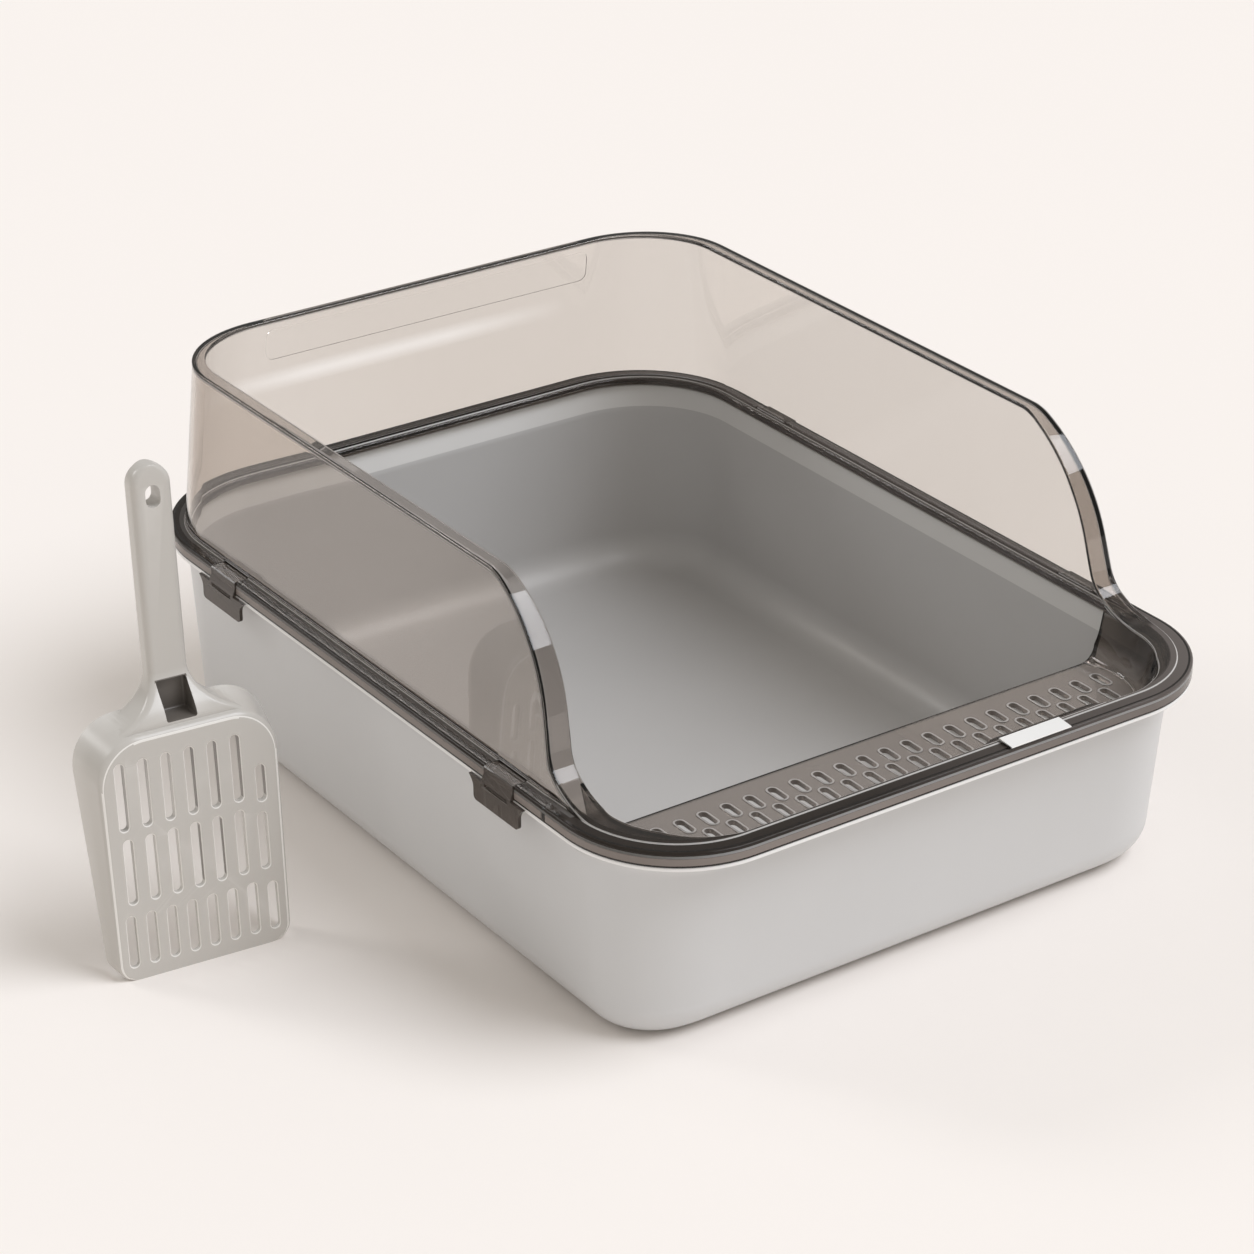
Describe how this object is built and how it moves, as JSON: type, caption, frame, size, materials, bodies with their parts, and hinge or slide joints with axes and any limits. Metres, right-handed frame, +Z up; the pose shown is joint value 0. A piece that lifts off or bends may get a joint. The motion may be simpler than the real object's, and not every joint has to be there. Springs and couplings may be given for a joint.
{
  "type": "semi-enclosed litter box",
  "caption": "Deep grey pan with a clip-on smoked see-through shield, perforated front step, snap clips and a slotted scoop standing beside it.",
  "frame": {"origin": "on the floor, in the plane of the pan's flat underside, under the middle of the collar's outline", "axes": "+Z up, the low entry side faces -Y, +X to the right seen from the entry side"},
  "size_m": [0.5281, 0.5006, 0.2555],
  "materials": {
    "pan_grey": "satin moulded plastic",
    "smoke_clear": "glossy clear smoked plastic",
    "smoke_clip": "glossy clear smoked plastic",
    "tab_white": "satin moulded plastic",
    "scoop_grey": "semi-gloss moulded plastic"
  },
  "bodies": {
    "pan": {"litter_pan": "pan_grey"},
    "shield": {"surround_shield": "smoke_clear", "front_tab": "tab_white"},
    "clip_fl": {"clip_front_left": "smoke_clip"},
    "clip_fr": {"clip_front_right": "smoke_clip"},
    "clip_bl": {"clip_back_left": "smoke_clip"},
    "clip_br": {"clip_back_right": "smoke_clip"},
    "scoop": {"litter_scoop": "scoop_grey"}
  },
  "joints": [
    {"name": "shield_lift", "type": "slide", "parent": "pan", "child": "shield", "axis": [0, 0, 1], "range_m": [0, 0.15]},
    {"name": "clip_fl_turn", "type": "hinge", "parent": "shield", "child": "clip_fl", "pos_m": [-0.18275, -0.13, 0.116], "axis": [0, 1, 0], "range_deg": [0, 100]},
    {"name": "clip_fr_turn", "type": "hinge", "parent": "shield", "child": "clip_fr", "pos_m": [0.18275, -0.13, 0.116], "axis": [0, -1, 0], "range_deg": [0, 100]},
    {"name": "clip_bl_turn", "type": "hinge", "parent": "shield", "child": "clip_bl", "pos_m": [-0.18275, 0.136, 0.116], "axis": [0, 1, 0], "range_deg": [0, 100]},
    {"name": "clip_br_turn", "type": "hinge", "parent": "shield", "child": "clip_br", "pos_m": [0.18275, 0.136, 0.116], "axis": [0, -1, 0], "range_deg": [0, 100]},
    {"name": "scoop_lift", "type": "slide", "parent": "pan", "child": "scoop", "axis": [0, 0, 1], "range_m": [0, 0.15]}
  ]
}
